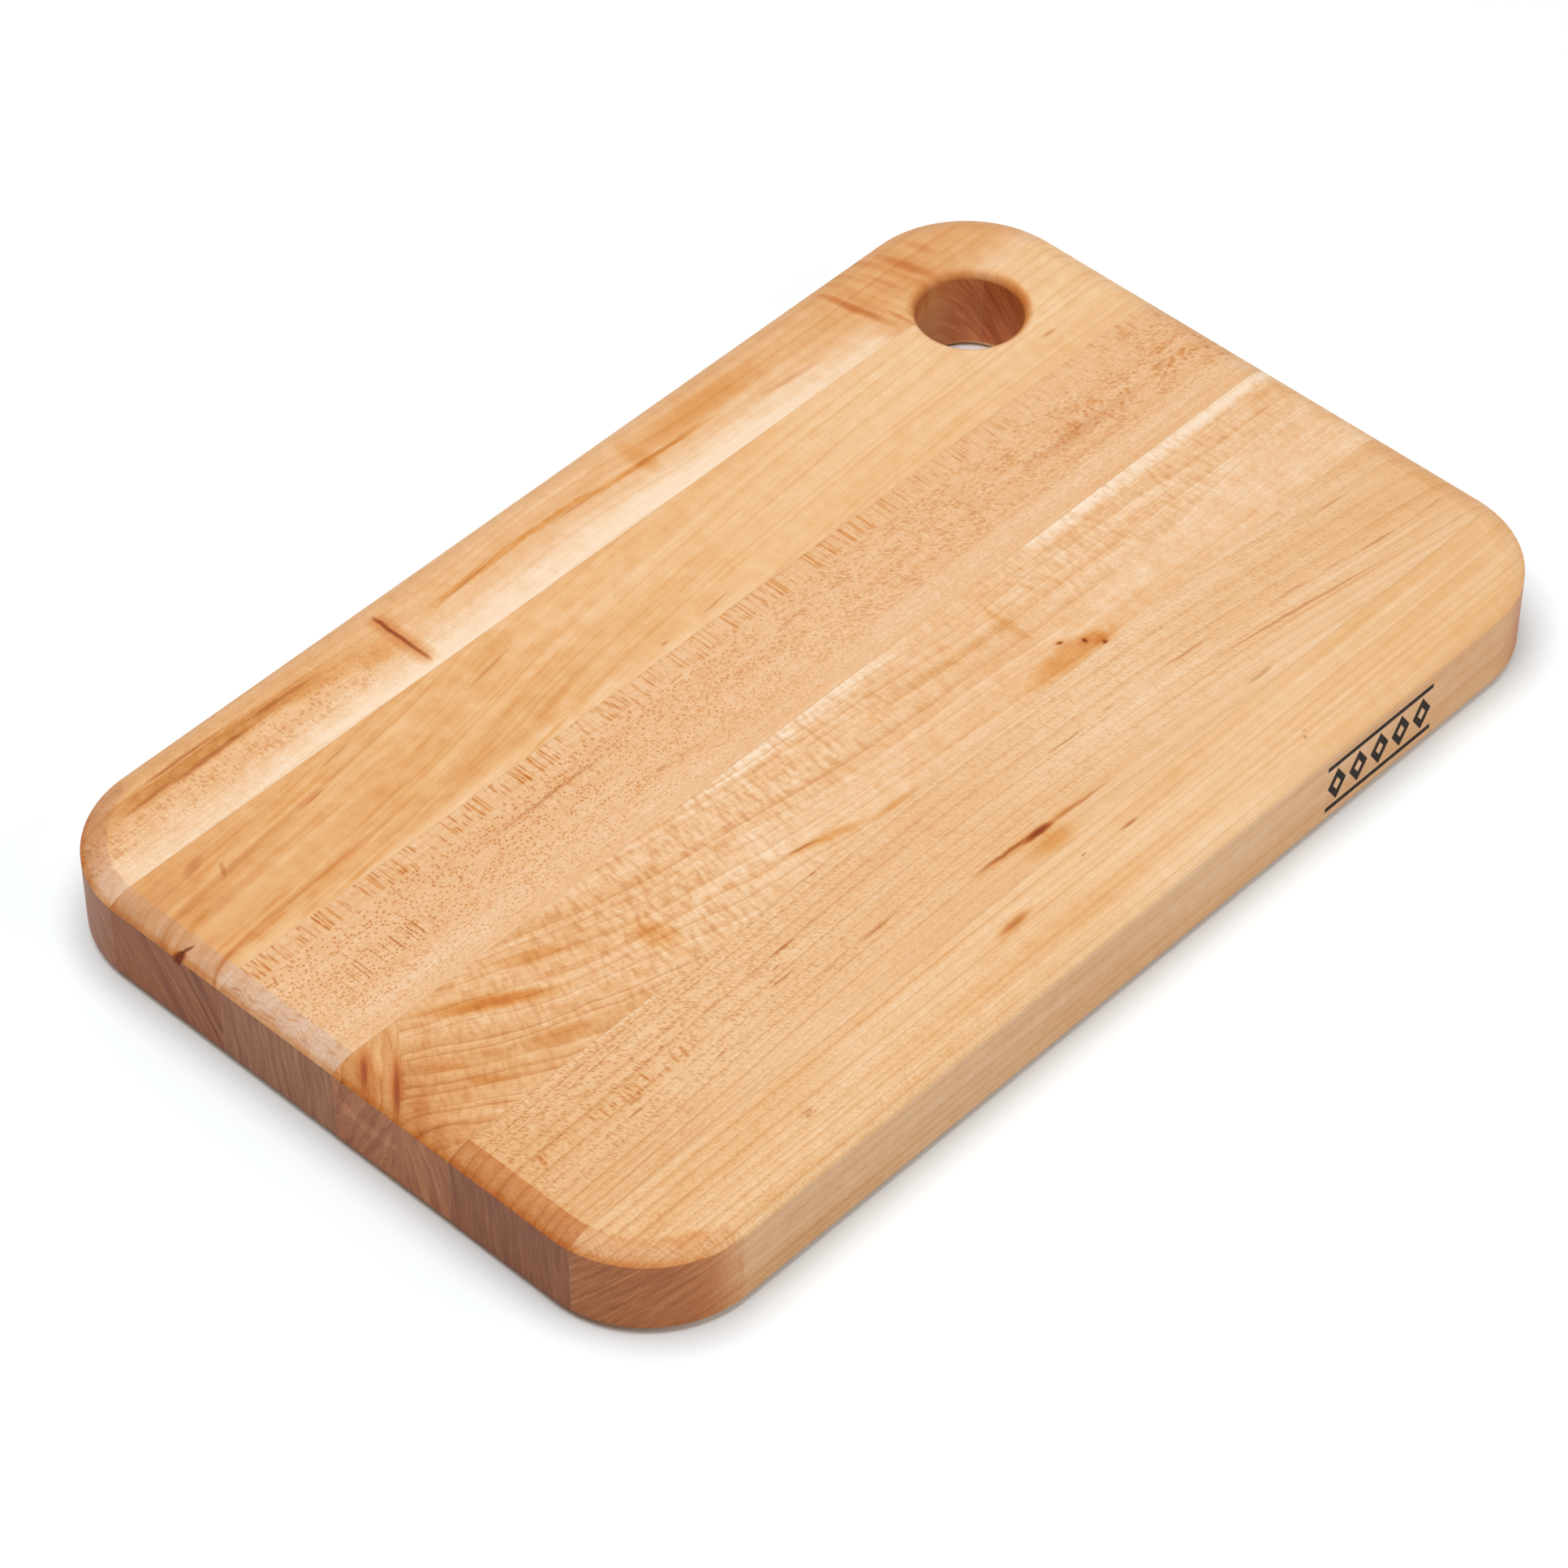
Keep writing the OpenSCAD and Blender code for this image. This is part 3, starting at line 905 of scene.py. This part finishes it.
def stave_5_wood():
    """Even, with clear rings of many widths, a rain of ray flecks and dark streaks."""
    drift = ((-204, 0), (-100, 4), (-40, 6), (-10, 6.3), (60, 4), (150, -4.3), (204, -11))
    wood = Wood("stave_5_maple", 5, 0.1, drift, 0.5)
    along = (
        (-204, 0.5), (-150, 0.66), (-110, 0.78), (-30, 0.72),
        (20, 0.84), (60, 0.9), (110, 0.84), (204, 0.7),
    )
    grit = wood.curve(wood.x, ((-204, 0.18), (-60, 0.16), (20, 0.10), (204, 0.06)))
    wood.lay_tone(along, cloud=0.1, bands=0.12, lines=0.13, mottle=0.06, grit=grit, fibre=0.08)
    wood.lay_colour((0.995, 1.045, 1.14))
    edges = (-95.3, -90.6, -87.7, -85.2, -81.5, -77, -72.8, -66.8, -62.8, -57.4, -54, -48.8)
    wood.number_rings(edges)
    wood.ring_lines(wood.curve(wood.x, ((-204, 1.5), (-100, 1.1), (20, 0.8), (204, 0.7))), spread=0.35)
    rain = wood.join((wood.x + wood.y * 0.45) / 0.85, wood.ring / 1.9, wood.ray / 9)
    lively = wood.curve(wood.x, ((-204, 1.0), (-120, 0.95), (-80, 0.65), (0, 0.4), (60, 0.5), (204, 0.18)))
    lower = wood.fade(wood.y, -88.0, -80.0) * 0.75 + 0.25
    wood.flecks(rain, lively * lower * (1 - wood.end_band) * 0.9, 0.5, 0.1)
    tall = wood.window(wood.y, -72.0, -66.5, 0.8) * wood.window(wood.x, -190.0, -125.0, 6.0)
    wood.flecks(wood.join(wood.x / 1.3, wood.y / 6, wood.ray / 9), tall, 0.5, 0.15, RED_TINT)
    wood.marks(BROWN_TINT, (
        (-155.6, -75.8, 9, 1.42, 0, 0.43), (-153, -72.5, 7, 1.42, 0, 0.37), (-124, -78, 6, 1.42, 0, 0.37),
        (-134, -64, 4, 1.33, 0, 0.37), (-82.5, -62.8, 13, 1.33, 2, 0.43), (-91.5, -71, 14, 1.23, 2, 0.43),
        (-89.5, -66.8, 6, 1.23, 2, 0.37), (-79, -78, 8, 1.23, 2, 0.25), (-58, -77.4, 24, 1.33, 2, 0.37),
        (-55.6, -49, 4, 1.33, 0, 0.37), (35, -67, 22, 1.52, -3, 0.28), (54, -67, 9, 1.33, -3, 0.25),
        (87, -68.5, 30, 1.52, -5, 0.28), (96, -91, 16, 2.28, -2, 0.31), (128, -81.5, 100, 1.42, -8.3, 0.31),
        (130, -74.5, 22, 1.52, -7, 0.25), (148, -76.5, 14, 1.52, -7, 0.22), (165, -79.5, 20, 1.42, -7, 0.25),
        (168, -58.5, 20, 1.42, -5, 0.22), (190, -81.5, 18, 1.33, -4, 0.22),
    ))
    # the long dark streak beside the joint with stave 6, and its halo
    wood.marks(ORANGE_TINT, (
        (-2, -85.5, 60, 5, -2, 0.7), (2, -91, 26, 11, 0, 0.9), (2.3, -90, 3, 14, 0, 1.0),
    ))
    wood.marks(BROWN_TINT, (
        (-11, -84.6, 34, 2.2, -3, 0.6), (1.5, -85.7, 17, 3.6, -2, 1.2), (18, -86.4, 36, 2.0, -3, 0.36),
    ))
    wood.cut_ends(ORANGE_BAND_TINT, END_DARK_BROWN)
    return wood.finish()


def stave_6_wood():
    """Light and straight, with fine ring lines and small knots. Its side is paler and bears the border."""
    wood = Wood("stave_6_maple", 6, -0.86, wander=0.3)
    along = ((-204, 0.69), (-110, 0.83), (10, 0.88), (90, 0.77), (204, 0.78))
    grit = wood.curve(wood.x, ((-204, 0.16), (-60, 0.12), (20, 0.07), (204, 0.04)))
    wood.lay_tone(along, cloud=0.2, bands=0.16, lines=0.10, mottle=0.08, grit=grit, fibre=0.07)
    wood.shift_tone(wood.fade(wood.y, -100.0, -96.0) * -0.1)
    side = wood.fade(wood.depth, 3.5, 5.0)
    wood.shift_tone(wood.fade(wood.y, -118.0, -124.0) * -0.06 - side * 0.2)
    wood.lay_colour((1.0, 1.03, 1.07))
    wood.stain(side * wood.fade(wood.depth, 40.0, 16.0), SIDE_TINT)
    edges = (-128.2, -125.3, -121.5, -118, -115.9, -112.8, -109.6, -106.5, -101.8, -98, -95)
    wood.number_rings(edges)
    wood.ring_lines(wood.curve(wood.x, ((-204, 1.1), (-60, 0.9), (60, 0.6), (204, 0.5))), 5.0, spread=0.5)
    rain = wood.join((wood.x + wood.y * 0.3) / 1.1, wood.ring / 1.8, wood.ray / 9)
    flecked = wood.curve(wood.x, ((-204, 0.34), (-60, 0.22), (0, 0.08), (204, 0.04)))
    wood.flecks(rain, flecked * (1 - side), 0.5)
    wood.marks(ORANGE_TINT, ((-178, -118, 16, 7, -20, 0.6), (-30, -104.6, 22, 6, 4, 0.8)))
    wood.marks(BROWN_TINT, (
        (-123.5, -110.8, 8, 6, 0, 0.16), (-124.4, -111.6, 2.2, 1.5, 30, 0.4),
        (-122.4, -110.4, 2.4, 1.4, -30, 0.4), (-124.2, -109.6, 1.8, 1.2, 0, 0.3),
        (-121.8, -112.0, 1.6, 1.1, 20, 0.3),
        (-30, -104.6, 16, 4.2, 4, 0.36), (-28, -104.4, 9, 1.8, 4, 0.3),
        (22.3, -102.8, 10, 1.4, -2, 0.5), (4, -101.3, 3, 1.2, 0, 0.4),
        (85, -117.5, 2.4, 2.0, 30, 0.3), (87, -115.5, 2.2, 1.2, 0, 0.25),
    ))
    wood.burn_border()
    wood.cut_ends(AMBER_BAND_TINT, END_RED_BROWN)
    return wood.finish()


def glue_material():
    """The thin joint lines: brownish where they show in the faces, and darker in the cut ends."""
    graph = Graph("cured_glue")
    uneven = graph.noise(graph.scaled(graph.place, (12, 2, 2)), 2.0)
    colour = graph.mix(uneven * 0.5 + 0.5, (*GLUE_DARK, 1), (*GLUE_LIGHT, 1))
    sloped = graph.fade(graph.turned, 0.01, 0.08) * graph.near_end
    colour = graph.mix(sloped * 0.8, colour, (*GLUE_EDGE, 1))
    colour = graph.mix(graph.fade(graph.turned, 0.1, 0.7), colour, (*GLUE_END, 1))
    graph.feed(graph.shader.inputs["Base Color"], colour)
    graph.shader.inputs["Roughness"].default_value = 0.4
    return graph.material


# ---------------------------------------------------------------- camera, light and floor
CAMERA_AZIMUTH = math.radians(-46.81)
CAMERA_ELEVATION = math.radians(45.99)
CAMERA_ROLL = math.radians(0.12)
CAMERA_DISTANCE = 1.7647
# how far the camera stands to the right of the board's middle and above it, in its own picture plane
AIM_RIGHT = -0.0106
AIM_UP = -0.0054
# the width of the sensor and the focal length, in millimetres
SENSOR = 36.0
LENS = 133.96
FAR_CLIP = 20
WORLD_STRENGTH = 0.15
# each light's name, place, width and length in metres, and power in watts
SOFTBOXES = (
    ("overhead", (-0.2, 0.09, 1.6), (1.2, 1.4), 27),
    ("near_side", (0.45, -1.22, 0.75), (1.2, 0.9), 8),
    ("far_side", (0.6, 1.1, 0.7), (1.0, 0.8), 3.5),
)
FLOOR_HALF = 4
FLOOR_COLOUR = (0.88, 0.925, 0.945)


def add_camera():
    """Adds the camera at the photograph's angle."""
    back = Vector((
        math.sin(CAMERA_AZIMUTH) * math.cos(CAMERA_ELEVATION),
        -math.cos(CAMERA_AZIMUTH) * math.cos(CAMERA_ELEVATION),
        math.sin(CAMERA_ELEVATION),
    ))
    level = Vector((math.cos(CAMERA_AZIMUTH), math.sin(CAMERA_AZIMUTH), 0))
    roll = Matrix.Rotation(CAMERA_ROLL, 3, back)
    right = roll @ level
    up = back.cross(right)
    data = bpy.data.cameras.new("camera")
    data.sensor_width = SENSOR
    data.lens = LENS
    data.clip_end = FAR_CLIP
    camera = bpy.data.objects.new("camera", data)
    turn = Matrix((right, up, back)).transposed().to_4x4()
    place = back * CAMERA_DISTANCE + right * AIM_RIGHT + up * AIM_UP
    camera.matrix_world = Matrix.Translation(place) @ turn
    bpy.context.scene.collection.objects.link(camera)
    bpy.context.scene.camera = camera


def add_softbox(name, place, size, power):
    """Adds an area light that faces the middle of the board's underside."""
    data = bpy.data.lights.new(name, "AREA")
    data.shape = "RECTANGLE"
    data.size, data.size_y = size
    data.energy = power
    light = bpy.data.objects.new(name, data)
    light.location = place
    light.rotation_euler = (-light.location).to_track_quat("-Z", "Y").to_euler()
    bpy.context.scene.collection.objects.link(light)


def add_world():
    """Adds an even white light from all round."""
    world = bpy.data.worlds.new("studio")
    world.use_nodes = True
    background = world.node_tree.nodes["Background"]
    background.inputs["Color"].default_value = (1, 1, 1, 1)
    background.inputs["Strength"].default_value = WORLD_STRENGTH
    bpy.context.scene.world = world


def add_floor():
    """Adds the plain pale floor that the board lies on."""
    mesh = bmesh.new()
    bmesh.ops.create_grid(mesh, x_segments=1, y_segments=1, size=FLOOR_HALF)
    data = bpy.data.meshes.new("floor")
    mesh.to_mesh(data)
    mesh.free()
    material = bpy.data.materials.new("pale_floor")
    material.use_nodes = True
    shader = material.node_tree.nodes["Principled BSDF"]
    shader.inputs["Base Color"].default_value = (*FLOOR_COLOUR, 1)
    shader.inputs["Roughness"].default_value = 0.9
    shader.inputs["Specular IOR Level"].default_value = 0.1
    data.materials.append(material)
    floor = bpy.data.objects.new("floor", data)
    bpy.context.scene.collection.objects.link(floor)


add_camera()
add_world()
for name, place, size, power in SOFTBOXES:
    add_softbox(name, place, size, power)
add_floor()
bpy.context.scene.view_settings.view_transform = "Standard"

# ---------------------------------------------------------------- pieces
shell = board_shell()
glue = glue_material()
stave_woods = (stave_1_wood, stave_2_wood, stave_3_wood, stave_4_wood, stave_5_wood, stave_6_wood)
materials = [wood() for wood in stave_woods] + [glue] * len(GLUE_LINES)
for node, material in zip(STAVES + GLUE_LINES, materials):
    low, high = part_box(node)
    is_stave = node in STAVES
    mesh = slice_of(shell, low.y, high.y)
    if low.y < CHIP_Y < high.y:
        chip_arris(mesh)
    piece = make_piece(("maple_" if is_stave else "cured_") + node, mesh, material)
    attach(piece, "root")
    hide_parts(node)
    node + "_wood" if is_stave else "glue"
shell.free()
